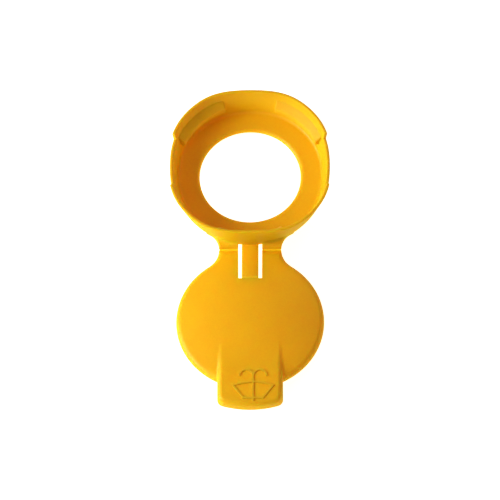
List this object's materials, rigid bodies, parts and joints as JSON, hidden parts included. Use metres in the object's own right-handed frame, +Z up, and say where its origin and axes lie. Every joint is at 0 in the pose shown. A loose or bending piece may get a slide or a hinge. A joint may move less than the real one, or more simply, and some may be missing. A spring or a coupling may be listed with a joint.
{
  "type": "eyewash spray head dust cover",
  "caption": "Flip-top dust cover: a flared clip-on collar with a round opening, hinged to a domed lid with a finger tab.",
  "frame": {"origin": "centre of the round opening, on the outer face of the flange, which is also the lid's mating plane", "axes": "+Z up the collar's skirt towards the spray head, -Y from the opening to the lid and its tab, X along the hinge line"},
  "size_m": [0.0732, 0.1542, 0.0172],
  "materials": {
    "yellow_polypropylene": "satin moulded polypropylene",
    "hinge_film": "thin flexed polypropylene",
    "raised_pictogram": "satin moulded polypropylene"
  },
  "bodies": {
    "collar": {"collar_flange": "yellow_polypropylene", "collar_skirt": "yellow_polypropylene", "snap_lug_rear_right": "yellow_polypropylene", "snap_lug_rear_left": "yellow_polypropylene", "snap_lug_front": "yellow_polypropylene", "collar_land_left": "yellow_polypropylene", "collar_land_right": "yellow_polypropylene", "hinge_film_left": "hinge_film", "hinge_film_right": "hinge_film", "strap_root_film": "hinge_film"},
    "lid": {"strap_panel": "yellow_polypropylene", "strap_tip_film": "hinge_film", "lid_land_left": "yellow_polypropylene", "lid_land_right": "yellow_polypropylene", "lid_rim_left": "yellow_polypropylene", "lid_rim_right": "yellow_polypropylene", "lid_dome": "yellow_polypropylene", "lid_notch_lining": "yellow_polypropylene", "finger_tab_top": "yellow_polypropylene", "finger_tab_skirt": "yellow_polypropylene", "eyewash_pictogram": "raised_pictogram"}
  },
  "joints": [
    {"name": "lid_hinge", "type": "hinge", "parent": "collar", "child": "lid", "pos_m": [0, -0.03685, -0.0001], "axis": [1, 0, 0], "range_deg": [0, 180], "deforming": ["hinge_film_left", "hinge_film_right", "strap_root_film", "strap_panel", "strap_tip_film"]}
  ]
}
